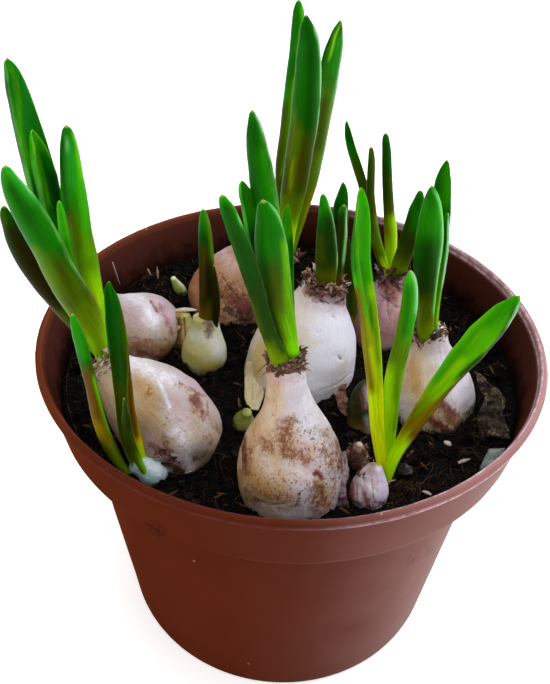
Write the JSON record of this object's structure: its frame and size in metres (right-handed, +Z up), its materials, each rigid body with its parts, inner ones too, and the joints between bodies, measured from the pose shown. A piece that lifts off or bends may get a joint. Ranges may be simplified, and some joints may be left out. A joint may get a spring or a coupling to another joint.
{
  "type": "potted grape hyacinth",
  "caption": "Sprouting grape hyacinth bulbs half sunk in dark potting soil in a round tapered plastic nursery pot, with fleshy channelled green leaves.",
  "frame": {"origin": "middle of the pot's underside, on the surface the pot stands on", "axes": "+Z up along the pot's axis; -Y is the front of the arrangement, where the pear-shaped bulb stands against the wall; +X to the right seen from the front"},
  "size_m": [0.12, 0.12, 0.1509],
  "materials": {
    "pot_plastic": "moulded terracotta-brown polypropylene, satin, brighter rim",
    "soil": "moist dark peat with fibres and crumbs",
    "bulb_skin": "dry papery tunic, cream to tan with lavender sheen, brown blotches and pores",
    "bulb_fresh": "fresh bulb scale, greenish white, waxy",
    "leaf_green": "fleshy leaf, deep green fading to yellow-green at the base, waxy",
    "leaf_yellow_green": "fleshy leaf, yellow-green with a green tip, waxy",
    "leaf_olive": "shoot sheath, dark olive-brown, waxy",
    "dried_skin": "dried, wrinkled bulb skin",
    "pale_flake": "weathered grey flake"
  },
  "bodies": {
    "root": {"bulb_back": "bulb_skin", "bulb_center": "bulb_skin", "bulb_front": "bulb_skin", "bulb_front_left": "bulb_fresh", "bulb_green": "bulb_fresh", "bulb_left": "bulb_skin", "bulb_left_back": "bulb_skin", "bulb_right": "bulb_skin", "bulb_right_back": "bulb_skin", "bulb_small_white": "bulb_fresh", "bulblet_brown": "bulb_skin", "bulblet_scaly": "bulb_fresh", "bulblet_striped": "bulb_skin", "bulblet_tiny": "bulb_fresh", "dried_skin": "dried_skin", "leaf_back_1": "leaf_green", "leaf_back_2": "leaf_green", "leaf_back_3": "leaf_green", "leaf_between": "leaf_olive", "leaf_center_1": "leaf_green", "leaf_center_2": "leaf_green", "leaf_center_3": "leaf_green", "leaf_fl_1": "leaf_yellow_green", "leaf_fl_2": "leaf_yellow_green", "leaf_fl_3": "leaf_yellow_green", "leaf_fl_4": "leaf_yellow_green", "leaf_fr_1": "leaf_yellow_green", "leaf_fr_2": "leaf_yellow_green", "leaf_fr_3": "leaf_yellow_green", "leaf_front_1": "leaf_yellow_green", "leaf_front_2": "leaf_yellow_green", "leaf_front_3": "leaf_yellow_green", "leaf_front_4": "leaf_yellow_green", "leaf_front_5": "leaf_yellow_green", "leaf_left_1": "leaf_green", "leaf_left_2": "leaf_green", "leaf_left_3": "leaf_green", "leaf_left_4": "leaf_green", "leaf_left_5": "leaf_green", "leaf_left_6": "leaf_green", "leaf_rear_1": "leaf_green", "leaf_rear_2": "leaf_green", "leaf_rear_3": "leaf_green", "leaf_rear_4": "leaf_green", "leaf_right_1": "leaf_green", "leaf_right_2": "leaf_green", "leaf_right_3": "leaf_green", "pale_flake": "pale_flake", "pot": "pot_plastic", "shoot_small_1": "leaf_olive", "shoot_small_2": "leaf_olive", "soil": "soil", "sprout_pale": "bulb_fresh"}
  },
  "joints": []
}
